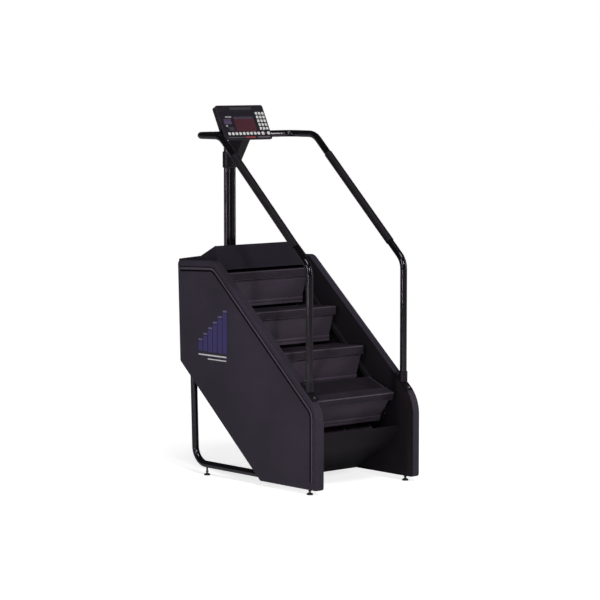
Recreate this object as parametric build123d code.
from build123d import *
import os
from math import sin, cos, tan, acos, atan2, pi, radians, sqrt, hypot

# Revolving-staircase stair climber.  Millimetres, +Z up, +Y is the way the climber faces,
# +X to the climber's right.  Written files have their origin at the centre of the footprint,
# on the floor.  In the script Y runs from the entry end, and save() moves it to the centre.
# Right-hand pieces (+X) are modelled and mirrored to the left.

# ---- driving dimensions --------------------------------------------------------------
LENGTH = 1220.0          # overall length of the footprint
STEP_RISE = 203.2        # vertical distance between neighbouring treads
CHAIN_PITCH = 25.4
LINKS_PER_STEP = 12
STEP_PITCH = LINKS_PER_STEP * CHAIN_PITCH
N_STEPS = 8
STEP_HALF = 300.0        # half width of a step
TURN_PAST = 20.0         # how far the steps on the turns are past the tangent, degrees
INNER = 327.0            # inner face of a side assembly
OUTER = 378.0            # outer face of a side assembly
PLATE_T = 3.0            # side plate
COVER_T = 3.0            # moulded cover wall
HOOD_HALF = INNER - 1.0  # half width of the hood, front cover and pan
TUBE_R = 38.1 / 2        # round tube of the base, handrail and mast
SHAFT_R = 35.0 / 2
FIT = 0.05               # radial gap of a running bore
DRIVE = (991.7, 996.3)   # drive shaft axis (y, z)

RISE_ANGLE = atan2(STEP_RISE, sqrt(STEP_PITCH**2 - STEP_RISE**2))
SIN_RISE, COS_RISE = sin(RISE_ANGLE), cos(RISE_ANGLE)
CHAIN_R = STEP_PITCH / pi    # chain pitch radius: half a turn carries one step
RUN = 3 * STEP_PITCH         # straight run between the two shafts
IDLER = (DRIVE[0] - RUN * COS_RISE, DRIVE[1] - RUN * SIN_RISE)

# Gear pair and belt drive in the right side compartment
GEAR_TEETH, PINION_TEETH = 72, 18
MODULE = 4.0
BACKLASH = 0.18
GEAR_CENTRES = (GEAR_TEETH + PINION_TEETH) * MODULE / 2
PINION_Y = 985.0
PINION = (PINION_Y, DRIVE[1] - sqrt(GEAR_CENTRES**2 - (DRIVE[0] - PINION_Y) ** 2))
ALTERNATOR = (982.0, 588.0)
PINION_SHAFT_R = 10
ROTOR_SHAFT_R = 8
GEAR_X = (335, 347)
PULLEY_X = (352, 366)
LARGE_PULLEY_R, SMALL_PULLEY_R = 110, 22

# Bearings are set into the side plates
BEARING_X = (325, 333)
SHAFT_BEARING_R, PINION_BEARING_R = 31, 21

# Side outline: y, z, corner radius
SIDE = [
    (0, 30, 16), (464, 30, 10), (1151, 628, 14),
    (1169, 1193, 22), (860, 1207.3, 60), (0, 466, 200),
]

os.makedirs("parts", exist_ok=True)


# ---- helpers -------------------------------------------------------------------------
def save(shape, name):
    """Write one node; a list is a node of several separate solids."""
    to_centre = Pos(0, -LENGTH / 2, 0)
    if isinstance(shape, list):
        shape = Compound([solid for item in shape for solid in (to_centre * item).solids()])
    else:
        shape = to_centre * shape
    shape.label = name
    export_step(shape, "parts/" + name + ".step")


def flip(shape):
    return mirror(shape, about=Plane.YZ)


def save_sides(shape, name):
    """Write a right-hand piece and its mirror image as two nodes."""
    save(shape, name + "_right")
    save(flip(shape), name + "_left")


def pair(shape):
    return [shape, flip(shape)]


def largest(shape):
    return shape.solids().sort_by(SortBy.VOLUME)[-1]


def rounded(before, corner, after, radius):
    """Start, middle and end of the arc that rounds a corner."""
    to_before = (before - corner).normalized()
    to_after = (after - corner).normalized()
    angle = acos(max(-1, min(1, to_before.dot(to_after))))
    tangent = radius / tan(angle / 2)
    centre = corner + (to_before + to_after).normalized() * (radius / sin(angle / 2))
    middle = centre + (corner - centre).normalized() * radius
    return corner + to_before * tangent, middle, corner + to_after * tangent


def outline(rows):
    """Closed face from (y, z[, corner radius]) rows, in sketch coordinates."""
    count = len(rows)
    points = [Vector(*row[:2]) for row in rows]
    corners = []
    for i, row in enumerate(rows):
        if len(row) > 2:
            corners.append(rounded(points[i - 1], points[i], points[(i + 1) % count], row[2]))
        else:
            corners.append((points[i], None, points[i]))
    edges = []
    for i, (start, middle, end) in enumerate(corners):
        if middle is not None:
            edges.append(ThreePointArc(start, middle, end))
        following = corners[(i + 1) % count][0]
        if (following - end).length > 1e-5:
            edges.append(Line(end, following))
    return make_face(edges)


def across(face, x0, x1):
    """Extrude a (y, z) face across the machine from x0 to x1."""
    return extrude(Plane.YZ.offset(x0) * face, amount=x1 - x0, dir=(1, 0, 0))


def prism(rows, x0, x1):
    return across(outline(rows), x0, x1)


def rod(centre, radius, x0, x1, bore=0):
    """Cylinder along X about a (y, z) centre."""
    face = Pos(*centre) * Circle(radius)
    if bore:
        face = face - Pos(*centre) * Circle(bore)
    return across(face, x0, x1)


def block(x0, x1, y0, y1, z0, z1):
    return Pos((x0 + x1) / 2, (y0 + y1) / 2, (z0 + z1) / 2) * Box(x1 - x0, y1 - y0, z1 - z0)


def tube(rows, radius, bore=0):
    """Round bar or tube through (x, y, z) rows; inner rows add a bend radius."""
    points = [Vector(*row[:3]) for row in rows]
    current = points[0]
    edges = []
    for i in range(1, len(points) - 1):
        start, middle, end = rounded(points[i - 1], points[i], points[i + 1], rows[i][3])
        edges += [Line(current, start), ThreePointArc(start, middle, end)]
        current = end
    edges.append(Line(current, points[-1]))
    path = Wire([e.edge() for e in edges])
    section = Plane(origin=points[0], z_dir=(points[1] - points[0]).normalized())
    body = sweep(section * Circle(radius), path=path)
    if bore:
        body = body - sweep(section * Circle(bore), path=path)
    return body


def polar(centre, radius, angle):
    return centre[0] + radius * cos(angle), centre[1] + radius * sin(angle)


def incline(along, out):
    """(y, z) at a distance up the slope from the idler shaft, and out square to the slope."""
    return (IDLER[0] + COS_RISE * along - SIN_RISE * out,
            IDLER[1] + SIN_RISE * along + COS_RISE * out)


def web_holes(body, centre, count, circle_r, hole_r, x0, x1):
    """Cut a ring of round holes through a wheel."""
    for k in range(count):
        hole_centre = polar(centre, circle_r, 2 * pi * k / count)
        body = body - rod(hole_centre, hole_r, x0 - 1, x1 + 1)
    return body


side_face = outline(SIDE)


def inset(distance):
    return offset(side_face, amount=-distance, kind=Kind.INTERSECTION)


# ---- steps and their axles -----------------------------------------------------------
# Relative to the nose edge: y, z, corner radius.  Fascia, raked riser with a two-rib foot,
# tread that thins towards its tail, grooves along the nose.
STEP_PROFILE = [
    (0, 0, 4), (0, -44, 4), (20, -49, 3), (24, -58), (58, -166),
    (53, -168, 1), (54, -180, 1), (59, -181), (60, -184), (55, -186, 1), (56, -198, 1),
    (67, -198), (70, -176), (36, -62, 8), (36, -36, 8),
    (120, -34, 10), (184, -24), (216, -13), (216, -4), (70, -4), (66, 0),
    (54, 0), (52, -2), (47, -2), (45, 0), (37, 0), (35, -2), (30, -2), (28, 0),
    (20, 0), (18, -2), (13, -2), (11, 0),
]
GUSSET = [
    (30, -56), (34, -30), (212, -9), (186, -25), (128, -82, 30),
    (112, -104, 22), (66, -112, 20), (68, -172), (60, -152),
]
GUSSET_T = 6
NOSE_OUT = 118.0         # nose edge outward of the step axle
AXLE = (NOSE_OUT * SIN_RISE, -NOSE_OUT * COS_RISE)   # axle from the nose edge (y, z)
AXLE_R = 10
AXLE_BORE = AXLE_R + FIT
BOSS_R = 17


def make_step():
    body = prism(STEP_PROFILE, -STEP_HALF, STEP_HALF)
    for x in (-STEP_HALF, -100, 94, STEP_HALF - GUSSET_T):
        gusset = prism(GUSSET, x, x + GUSSET_T) - rod(AXLE, AXLE_BORE, x - 1, x + GUSSET_T + 1)
        body = body + gusset
        body = body + rod(AXLE, BOSS_R, x, x + GUSSET_T, AXLE_BORE)
    return body - rod(AXLE, AXLE_BORE, -STEP_HALF - 1, STEP_HALF + 1)


def make_step_axle():
    axle = rod(AXLE, AXLE_R, -305.3, 305.3)
    return axle + rod(AXLE, 14, 300.1, 304.5) + rod(AXLE, 14, -304.5, -300.1)


def step_pose(distance):
    """Axle (y, z) and turn about +X in degrees; distance starts at the top, going down."""
    distance = distance % (N_STEPS * STEP_PITCH)
    if distance < RUN:
        return incline(RUN - distance, CHAIN_R), 0.0
    if distance < RUN + STEP_PITCH:
        turn = (distance - RUN) / CHAIN_R
        return incline(-CHAIN_R * sin(turn), CHAIN_R * cos(turn)), turn * 180 / pi
    if distance < 2 * RUN + STEP_PITCH:
        return incline(distance - RUN - STEP_PITCH, -CHAIN_R), 180.0
    turn = (distance - 2 * RUN - STEP_PITCH) / CHAIN_R
    return incline(RUN + CHAIN_R * sin(turn), -CHAIN_R * cos(turn)), 180 + turn * 180 / pi


def save_steps():
    step, axle = make_step(), make_step_axle()
    lower_turn_step = RUN + radians(TURN_PAST) * CHAIN_R
    for i in range(N_STEPS):
        (y, z), turn = step_pose(lower_turn_step + STEP_PITCH * (i - 3))
        place = Pos(0, y, z) * Rot(turn, 0, 0) * Pos(0, -AXLE[0], -AXLE[1])
        save(place * step, "step_" + str(i + 1))
        save(place * axle, "step_axle_" + str(i + 1))


# ---- sprockets, chains, bearings -----------------------------------------------------
SPROCKET_TEETH = 2 * LINKS_PER_STEP
SPROCKET_X = (310, 318)
# One tooth: angle as a fraction of the tooth pitch, radius beyond the chain pitch radius
SPROCKET_TOOTH = [(-0.42, -9.0), (-0.24, -7.5), (-0.11, 5.0), (0.11, 5.0), (0.24, -7.5)]
CHAIN_HALF_H = 8.5
CHAIN_PLATES_X = ((306, 308.8), (319.2, 322))
CHAIN_PINS = 33          # modelled pins on each straight run
FIRST_PIN = 45           # up the slope from the idler shaft


def make_sprocket(centre):
    rim = [polar(centre, CHAIN_R + out, (k + part) * 2 * pi / SPROCKET_TEETH)
           for k in range(SPROCKET_TEETH) for part, out in SPROCKET_TOOTH]
    body = across(outline(rim) - Pos(*centre) * Circle(SHAFT_R), *SPROCKET_X)
    body = web_holes(body, centre, 5, 58, 18, *SPROCKET_X)
    return body + rod(centre, 30, 302, SPROCKET_X[0], SHAFT_R)


def stadium(out):
    """Face bounded at one distance from the line between the two shafts."""
    top_a, top_b = incline(RUN, out), incline(0, out)
    low_b, low_a = incline(0, -out), incline(RUN, -out)
    return make_face([
        Line(top_a, top_b), ThreePointArc(top_b, incline(-out, 0), low_b),
        Line(low_b, low_a), ThreePointArc(low_a, incline(RUN + out, 0), top_a)])


def make_step_chain():
    """Two plain link bands joined by pins along both straight runs."""
    band = stadium(CHAIN_R + CHAIN_HALF_H) - stadium(CHAIN_R - CHAIN_HALF_H)
    inner_x, outer_x = CHAIN_PLATES_X
    pins = [rod(incline(FIRST_PIN + CHAIN_PITCH * k, out), 4.0, inner_x[1], outer_x[0])
            for k in range(CHAIN_PINS) for out in (CHAIN_R, -CHAIN_R)]
    return across(band, *inner_x).fuse(across(band, *outer_x), *pins)


def make_bearings():
    """Both ends of the drive and idler shafts, and the pinion shaft on the right."""
    bearings = []
    for shaft in (DRIVE, IDLER):
        bearings += pair(rod(shaft, SHAFT_BEARING_R, *BEARING_X, SHAFT_R + FIT))
    return bearings + [rod(PINION, PINION_BEARING_R, *BEARING_X, PINION_SHAFT_R + FIT)]


# ---- side plates, base tubes, outer covers, feet -------------------------------------
BASE_X = 353.0
BASE_PATH = [(BASE_X, 1062, 640), (BASE_X, 1044, 62, 95.0), (BASE_X, 22, 62)]
FEET_Y = {"rear": 85.0, "front": 945.0}
GROOVE = [(54, 70), (54, 440), (864, 1150), (1146, 1137)]   # on the cover's face: y, z
GROOVE_DEPTH = 1.6

# Handrail foot, on the sloping upper edge of the side
RAIL_X, RAIL_Y = 346.0, 97.0
EDGE_SLOPE = 0.8621
EDGE_PLANE = Plane(
    origin=(RAIL_X, RAIL_Y, SIDE[5][1] + EDGE_SLOPE * RAIL_Y + 0.4), x_dir=(1, 0, 0),
    z_dir=(0, -EDGE_SLOPE / hypot(1, EDGE_SLOPE), 1 / hypot(1, EDGE_SLOPE)))
BOLT_OFFSETS = (-50, 50)     # along the slope


def make_side_plate(right):
    face = inset(4.5)
    for shaft in (DRIVE, IDLER):
        face = face - Pos(*shaft) * Circle(SHAFT_BEARING_R)
    if right:
        face = face - Pos(*PINION) * Circle(PINION_BEARING_R) - Pos(*ALTERNATOR) * Circle(14)
    # ledge that covers the upper run of the step chain, above the chain plates
    low, high = CHAIN_R + 11, CHAIN_R + 13.5
    start, end = -8.0, RUN + 8
    ledge = [incline(start, low), incline(end, low), incline(end, high), incline(start, high)]
    return across(face, INNER, INNER + PLATE_T) + prism(ledge, STEP_HALF + 5.5, INNER)


def make_outer_cover():
    cover = across(side_face, INNER + PLATE_T, OUTER)
    rim = [e for e in cover.edges() if abs(e.center().X - OUTER) < 0.01]
    cover = fillet(rim, 5)
    cover = cover - across(inset(COVER_T), INNER + 2, OUTER - COVER_T)
    groove = trace(FilletPolyline(*GROOVE, radius=55), line_width=4.5)
    cover = cover - across(groove, OUTER - GROOVE_DEPTH, OUTER + 1)
    cover = cover - tube(BASE_PATH, TUBE_R + 1.0)
    for along in BOLT_OFFSETS:
        cover = cover - EDGE_PLANE * (Pos(0, along, 0) * Cylinder(4.6, 30))
    cover = cover - Pos(BASE_X, FEET_Y["rear"], 30) * Cylinder(14, 20)
    return largest(cover)


def make_levelling_foot(y):
    """Pad, cone, stud and hexagonal nut."""
    foot = Pos(BASE_X, y, 4) * Cylinder(17, 8)
    foot = foot + Pos(BASE_X, y, 11) * Cone(12, 7, 6)
    foot = foot + Pos(BASE_X, y, 27) * Cylinder(5, 30)
    return foot + Pos(BASE_X, y, 20) * extrude(RegularPolygon(9, 6), 4)


def make_cover_screws():
    """Screws on the front edges of the side covers."""
    (low_y, low_z), (high_y, high_z) = SIDE[2][:2], SIDE[3][:2]
    screws = []
    for z in (1075, 760):
        edge_y = low_y + (z - low_z) * (high_y - low_y) / (high_z - low_z)
        screws.append(Pos(354, edge_y + 2.0, z) * Rot(-90, 0, 0) * Cylinder(7, 3.2))
    return screws + [flip(screw) for screw in screws]


# ---- mast position and cross members -------------------------------------------------
MAST_X, MAST_Y = 19.6, 1163.0    # twin tubes at +X and -X
MAST_FOOT, MAST_TOP = 1190, 1846.0
# Box tubes: y0, y1, z0, z1
CROSS_MEMBERS = [
    (1150, 1180, 1150, MAST_FOOT), (452, 486, 62, 102), (1085, 1125, 640, 680),
]
BEAM_WALL = 3.0


def make_cross_member(y0, y1, z0, z1):
    cavity = block(-INNER - 1, INNER + 1, y0 + BEAM_WALL, y1 - BEAM_WALL,
                   z0 + BEAM_WALL, z1 - BEAM_WALL)
    return block(-INNER, INNER, y0, y1, z0, z1) - cavity


def cut_mast_holes(body, z, radius, height):
    for x in (-MAST_X, MAST_X):
        body = body - Pos(x, MAST_Y, z) * Cylinder(radius, height)
    return body


# ---- hood, front cover, underside pan ------------------------------------------------
# Side sections: y, z, corner radius
HOOD_OUTSIDE = [
    (836, 1154), (931, 1282, 4), (1033, 1222, 8), (1220, 1196, 5), (1220, 1192), (1000, 1192),
]
HOOD_INSIDE = [
    (840, 1100), (840, 1154.3), (933, 1277.5), (1032.4, 1218.8), (1217, 1193.2), (1217, 1180),
]
FRONT_OUTSIDE = [
    (1220, 1191.5), (1220, 842, 20), (1158, 634), (1152.5, 636), (1170.5, 1191.5),
]
FRONT_INSIDE = [
    (1217, 1200), (1217, 843, 20), (1156, 638), (1149, 636), (1130, 640), (1150, 1200),
]
# Straight part of the pan, along its underside and back along its upper side: y, z
PAN_STRAIGHT = [
    (452, 31), (466, 31), (1150, 626.5), (1148, 629.0), (464.9, 34), (453, 34),
]
PAN_T = 2.5
APRON_R = 219.0                                        # inner radius about the idler shaft
APRON_START, APRON_END = radians(201.0), radians(237.7)


def hood_body(section, wall):
    """Prism with both upper side edges cut off at a slant."""
    half = HOOD_HALF - wall
    body = prism(section, -half, half)
    wedge = Plane.XZ * outline([
        (half, 1206 - wall), (half + 40, 1206 - wall), (half + 40, 1330),
        (half - 50, 1330), (300 - wall, 1283 - wall)])
    wedge = extrude(wedge, amount=1400, dir=(0, 1, 0))
    return body - wedge - flip(wedge)


def make_top_hood():
    hood = hood_body(HOOD_OUTSIDE, 0) - hood_body(HOOD_INSIDE, 3)
    return largest(cut_mast_holes(hood, 1200, TUBE_R + 1.2, 80))


def make_front_cover():
    cover = prism(FRONT_OUTSIDE, -HOOD_HALF, HOOD_HALF)
    cover = cover - prism(FRONT_INSIDE, -HOOD_HALF + 2.5, HOOD_HALF - 2.5)
    # room for the beam under the mast
    cover = cover - block(-330, 330, 1130, 1181, 1148.5, 1195)
    return largest(cover)


def make_underside_pan():
    """One bent sheet: curved apron under the lower turn of the steps, then up the slope."""
    angles = (APRON_START, (APRON_START + APRON_END) / 2, APRON_END)
    outside = [polar(IDLER, APRON_R + PAN_T, angle) for angle in angles]
    inside = [polar(IDLER, APRON_R, angle) for angle in reversed(angles)]
    points = [outside[-1], *PAN_STRAIGHT, inside[0]]
    lines = [Line(start, end) for start, end in zip(points, points[1:])]
    edges = [ThreePointArc(*outside), *lines, ThreePointArc(*inside)]
    edges.append(Line(inside[-1], outside[0]))
    return across(make_face(edges), -HOOD_HALF, HOOD_HALF)


# ---- drive train in the right side compartment, brake on the left --------------------
def gear_blank(centre, teeth, first_tooth):
    """Toothed disc with 20 degree involute flanks; first_tooth is a tooth centre angle."""
    pitch_r = teeth * MODULE / 2
    tip_r = pitch_r + MODULE * 0.95
    root_r = pitch_r - 1.25 * MODULE
    base_r = pitch_r * cos(radians(20))

    def involute(radius):
        angle = acos(min(1, base_r / radius))
        return tan(angle) - angle

    half_tooth = pi / (2 * teeth) - BACKLASH / pitch_r
    flank_r = max(base_r, root_r)
    radii = [flank_r + (tip_r - flank_r) * q / 4 for q in range(5)]
    half_angles = [half_tooth + involute(pitch_r) - involute(r) for r in radii]
    half_profile = list(zip(radii, half_angles))
    if root_r < base_r:
        half_profile.insert(0, (root_r, half_angles[0]))
    points = []
    for k in range(teeth):
        middle = first_tooth + 2 * pi * k / teeth
        points += [polar(centre, r, middle - half) for r, half in half_profile]
        points += [polar(centre, r, middle + half) for r, half in reversed(half_profile)]
    return prism(points, *GEAR_X)


MESH_ANGLE = atan2(PINION[1] - DRIVE[1], PINION[0] - DRIVE[0])


def make_drive_gear():
    gear = gear_blank(DRIVE, GEAR_TEETH, MESH_ANGLE)
    gear = gear - rod(DRIVE, SHAFT_R, GEAR_X[0] - 1, GEAR_X[1] + 1)
    gear = web_holes(gear, DRIVE, 6, 82, 27, *GEAR_X)
    return gear + rod(DRIVE, 32, GEAR_X[1], 352, SHAFT_R)


def make_pinion_shaft():
    pinion = gear_blank(PINION, PINION_TEETH, MESH_ANGLE + pi + pi / PINION_TEETH)
    pinion = pinion + rod(PINION, PINION_SHAFT_R, 318, GEAR_X[0])
    return pinion + rod(PINION, PINION_SHAFT_R, GEAR_X[1], 371)


def make_large_pulley():
    pulley = rod(PINION, LARGE_PULLEY_R, *PULLEY_X, PINION_SHAFT_R)
    for x0, x1 in ((351, 355.5), (362.5, 367)):
        pulley = pulley - rod(PINION, 98, x0, x1, 22)
    return web_holes(pulley, PINION, 5, 62, 24, *PULLEY_X)


def make_alternator_rotor():
    rotor = rod(ALTERNATOR, ROTOR_SHAFT_R, 190, 370)
    rotor = rotor + rod(ALTERNATOR, SMALL_PULLEY_R, *PULLEY_X)
    return rotor + rod(ALTERNATOR, 44, 205, 285)


def make_alternator():
    """Hollow housing with a boss and two lugs towards the side plate."""
    bore = ROTOR_SHAFT_R + FIT
    y, z = ALTERNATOR
    housing = rod(ALTERNATOR, 58, 190, 325) - rod(ALTERNATOR, 46, 200, 295)
    housing = housing - rod(ALTERNATOR, bore, 180, 330)
    housing = housing + rod(ALTERNATOR, 13, 325, 332, bore)
    for y0, y1 in ((y - 75, y - 50), (y + 50, y + 75)):
        housing = housing + block(296, INNER - 0.1, y0, y1, z - 10, z + 10)
    return housing


def belt_loop(out):
    """Face inside a taut loop that stands a distance off both pulleys."""
    large_r, small_r = LARGE_PULLEY_R + out, SMALL_PULLEY_R + out
    dy, dz = ALTERNATOR[0] - PINION[0], ALTERNATOR[1] - PINION[1]
    base = atan2(dz, dy)
    wrap = acos((large_r - small_r) / hypot(dy, dz))
    large = [polar(PINION, large_r, base + a) for a in (wrap, pi, -wrap)]
    small = [polar(ALTERNATOR, small_r, base + a) for a in (-wrap, 0, wrap)]
    return make_face([
        ThreePointArc(*large), Line(large[-1], small[0]),
        ThreePointArc(*small), Line(small[-1], large[0])])


def make_drive_belt():
    return across(belt_loop(3.4) - belt_loop(0.4), PULLEY_X[0] + 1, PULLEY_X[1] - 1)


def make_brake_magnet():
    return rod(DRIVE, 60, -362, -334, 40) + rod(DRIVE, 62, -334, -330.2, 40)


def make_brake_disc():
    return rod(DRIVE, 56, -368, -363, SHAFT_R) + rod(DRIVE, 30, -363, -350, SHAFT_R)


# ---- handrail ------------------------------------------------------------------------
CROSSBAR = (1034, 1892)      # tube behind the console (y, z)
RAIL_BEND_Z = 1214           # top of the upright, where the sloping part starts
RAIL_TOP_Y = 828             # where the sloping part meets the level part
# Right half of the path, from the foot: x, y, z, bend radius
RAIL_HALF = [
    (RAIL_X, RAIL_Y, 569), (RAIL_X, RAIL_Y, RAIL_BEND_Z, 105),
    (RAIL_X, RAIL_TOP_Y, CROSSBAR[1], 110), (RAIL_X, *CROSSBAR, 58),
]
GRIP_START, GRIP_END = 148, 838      # along the sloping part


def make_handrail_tube():
    left_half = [(-x, *rest) for x, *rest in RAIL_HALF]
    return tube(left_half + RAIL_HALF[::-1], TUBE_R, TUBE_R - 2.2)


def make_handrail_grip():
    slope = Vector(0, RAIL_TOP_Y - RAIL_Y, CROSSBAR[1] - RAIL_BEND_Z).normalized()
    start = Vector(RAIL_X, RAIL_Y, RAIL_BEND_Z) + slope * GRIP_START
    length = GRIP_END - GRIP_START
    sleeve = Cylinder(22.4, length) - Cylinder(TUBE_R, length + 2)
    return Plane(origin=start, z_dir=slope) * (Pos(0, 0, length / 2) * sleeve)


def make_handrail_bracket():
    """Plate on the sloping edge with a socket for the tube."""
    bracket = EDGE_PLANE * (Pos(0, 0, 2.5) * Box(44, 134, 5))
    bracket = bracket + Pos(RAIL_X, RAIL_Y, 578) * Cylinder(23.5, 56)
    bracket = bracket - Pos(RAIL_X, RAIL_Y, 612) * Cylinder(TUBE_R, 100)
    bracket = bracket - EDGE_PLANE * (Pos(0, 0, -50) * Box(120, 300, 100))
    for along in BOLT_OFFSETS:
        bracket = bracket - EDGE_PLANE * (Pos(0, along, 0) * Cylinder(4.5, 30))
    return largest(bracket)


def make_handrail_bolts():
    bolts = []
    for along in BOLT_OFFSETS:
        head = Pos(0, along, 7.2) * Cylinder(8, 4.2) + Pos(0, along, 9.9) * Cone(8, 4.5, 1.4)
        bolts.append(EDGE_PLANE * (head + Pos(0, along, 1.3) * Cylinder(4.4, 8.0)))
    return bolts + [flip(bolt) for bolt in bolts]


# ---- console -------------------------------------------------------------------------
# Console frame: x across, s up the face from its bottom edge, t outward towards the climber
CONSOLE = Plane(origin=(0, 987.0, 1865.0), x_dir=(1, 0, 0), z_dir=(0, -0.89254, 0.45097))
CONSOLE_HALF, CONSOLE_H = 346.0 / 2, 213.0
SHELL_SPLIT, CONSOLE_BACK = -9, -42      # t of the shell joint and of the back
# Rectangles on the face: x0, x1, s0, s1
FACE = (-CONSOLE_HALF, CONSOLE_HALF, 0, CONSOLE_H)
KEYPAD = (-167, 168, 24, 176)
DISPLAY = (-70, 80, 50, 143)
PANEL_GAP = 0.3
OVERLAY_T = (-1.2, -0.6)                 # t of the overlay's underside and top
LOWER_KEYS_S = 36.25


def shrink(rect, gap):
    x0, x1, s0, s1 = rect
    return x0 + gap, x1 - gap, s0 + gap, s1 - gap


def slab(rect, t0, t1, corner=0):
    """Plate over a rectangle of the console frame, before it is placed."""
    x0, x1, s0, s1 = rect
    width, height = x1 - x0, s1 - s0
    face = RectangleRounded(width, height, corner) if corner else Rectangle(width, height)
    return Pos(0, 0, t0) * extrude(Pos((x0 + x1) / 2, (s0 + s1) / 2) * face, t1 - t0)


def edges_at(body, t):
    return [e for e in body.edges() if abs(e.center().Z - t) < 0.01]


def make_front_shell():
    shell = slab(FACE, SHELL_SPLIT, 0, 12)
    shell = fillet(edges_at(shell, 0), 2.5)
    shell = shell - slab(KEYPAD, OVERLAY_T[0], 1, 3)
    shell = shell - slab(DISPLAY, -10, 1, 2)
    shell = shell - slab((-165, 165, 10, 203), -9.5, -5)
    return CONSOLE * shell


def make_rear_shell():
    shell = slab(shrink(FACE, 1), CONSOLE_BACK, SHELL_SPLIT, 11)
    shell = chamfer(edges_at(shell, CONSOLE_BACK), 9)
    shell = shell - slab((-CONSOLE_HALF + 14, CONSOLE_HALF - 14, 74, CONSOLE_H - 14), -39, -8, 8)
    shell = shell - slab((-CONSOLE_HALF - 5, CONSOLE_HALF + 5, -5, 70), -60, -10.2)
    return largest(CONSOLE * shell - rod(CROSSBAR, TUBE_R + 0.02, -200, 200))


def make_display_window():
    return CONSOLE * slab(shrink(DISPLAY, PANEL_GAP), -4.9, -2.0, 2)


def make_keypad_overlay():
    sheet = slab(shrink(KEYPAD, PANEL_GAP), *OVERLAY_T, 3)
    return CONSOLE * (sheet - slab(DISPLAY, -3, 1, 2))


def make_key(x, s, width, height, corner):
    rect = (x - width / 2, x + width / 2, s - height / 2, s + height / 2)
    return CONSOLE * slab(rect, OVERLAY_T[1], 0.6, corner)


def make_keys():
    """Three by five square keys, a row of nine, and two wider ones at the row's end."""
    keys = [make_key(108 + 23.5 * column, 66 + 23.5 * row, 16, 16, 3)
            for column in range(3) for row in range(5)]
    keys += [make_key(-134 + 26.9 * i, LOWER_KEYS_S, 18, 17.5, 6) for i in range(9)]
    return keys + [make_key(x, LOWER_KEYS_S, 21, 19.5, 7) for x in (112.5, 154)]


def make_console_board():
    return CONSOLE * slab((-160, 160, 14, 200), -8.4, -6.6)


# ---- mast, neck, cable ---------------------------------------------------------------
# Neck side sections: y, z, corner radius
NECK_OUTSIDE = [
    (1143, 1704), (1143, 1852), (1096, 1896, 20), (1058, 1916),
    (1024, 1916), (1010, 1872), (1062, 1790, 60), (1112, 1712),
]
NECK_INSIDE = [
    (1139, 1728), (1139, 1850), (1092, 1890), (1064, 1890),
    (1058, 1862), (1040, 1860), (1074, 1800, 40), (1116, 1728),
]


def make_mast_tube():
    height = MAST_TOP - MAST_FOOT
    body = Cylinder(TUBE_R, height) - Cylinder(TUBE_R - 2.4, height + 2)
    return Pos(MAST_X, MAST_Y, (MAST_FOOT + MAST_TOP) / 2) * body


def mast_block(half_x, half_y, z0, z1):
    """Block around both mast tubes with rounded upright edges."""
    body = block(-half_x, half_x, MAST_Y - half_y, MAST_Y + half_y, z0, z1)
    return fillet(body.edges().filter_by(Axis.Z), 18)


def make_console_neck():
    """Hollow neck with a collar round the mast and a cap over it."""
    collar = cut_mast_holes(mast_block(43, 23, 1701, 1792), 1730, TUBE_R, 120)
    neck = prism(NECK_OUTSIDE, -28, 28) - prism(NECK_INSIDE, -24, 24)
    neck = neck + mast_block(41, 21, MAST_TOP, MAST_TOP + 6)
    neck = neck - rod(CROSSBAR, TUBE_R, -60, 60)
    neck = neck + collar
    neck = cut_mast_holes(neck, 1758, TUBE_R, 176)
    # room for the console
    neck = neck - CONSOLE * slab((-60, 60, 70, 230), CONSOLE_BACK - 0.05, 5)
    neck = neck - CONSOLE * slab((-60, 60, -20, 72), -10.2, 5)
    return largest(neck)


def make_console_cable():
    """Cable up the right mast tube."""
    return tube([(MAST_X, MAST_Y, MAST_FOOT + 2), (MAST_X, MAST_Y, 1788)], 3.0)


# ---- write every node ----------------------------------------------------------------
save_steps()
save(pair(make_sprocket(DRIVE)), "drive_sprockets")
save(pair(make_sprocket(IDLER)), "idler_sprockets")
save(rod(DRIVE, SHAFT_R, -371, 352), "drive_shaft")
save(rod(IDLER, SHAFT_R, -338, 338), "idler_shaft")
save_sides(make_step_chain(), "step_chain")
save(make_bearings(), "bearings")

save(make_side_plate(right=True), "side_plate_right")
save(flip(make_side_plate(right=False)), "side_plate_left")
save_sides(make_outer_cover(), "outer_cover")
save_sides(tube(BASE_PATH, TUBE_R, TUBE_R - 2.6), "base_tube")
for end, foot_y in FEET_Y.items():
    save_sides(make_levelling_foot(foot_y), "levelling_foot_" + end)
save(make_cover_screws(), "cover_screws")
save([make_cross_member(*row) for row in CROSS_MEMBERS], "cross_members")
save(make_top_hood(), "top_hood")
save(make_front_cover(), "front_cover")
save(make_underside_pan(), "underside_pan")

save(make_drive_gear(), "drive_gear")
save(make_pinion_shaft(), "pinion_shaft")
save(make_large_pulley(), "large_pulley")
save(make_alternator_rotor(), "alternator_rotor")
save(make_alternator(), "alternator")
save(make_drive_belt(), "drive_belt")
save(make_brake_magnet(), "brake_magnet")
save(make_brake_disc(), "brake_disc")

save(make_handrail_tube(), "handrail_tube")
save_sides(make_handrail_grip(), "handrail_grip")
save(pair(make_handrail_bracket()), "handrail_brackets")
save(make_handrail_bolts(), "handrail_bolts")

save(make_front_shell(), "console_front_shell")
save(make_rear_shell(), "console_rear_shell")
save(make_display_window(), "display_window")
save(make_keypad_overlay(), "keypad_overlay")
save(make_keys(), "membrane_keys")
save(make_console_board(), "console_board")
save(pair(make_mast_tube()), "console_mast")
save(make_console_neck(), "console_neck")
save(make_console_cable(), "console_cable")
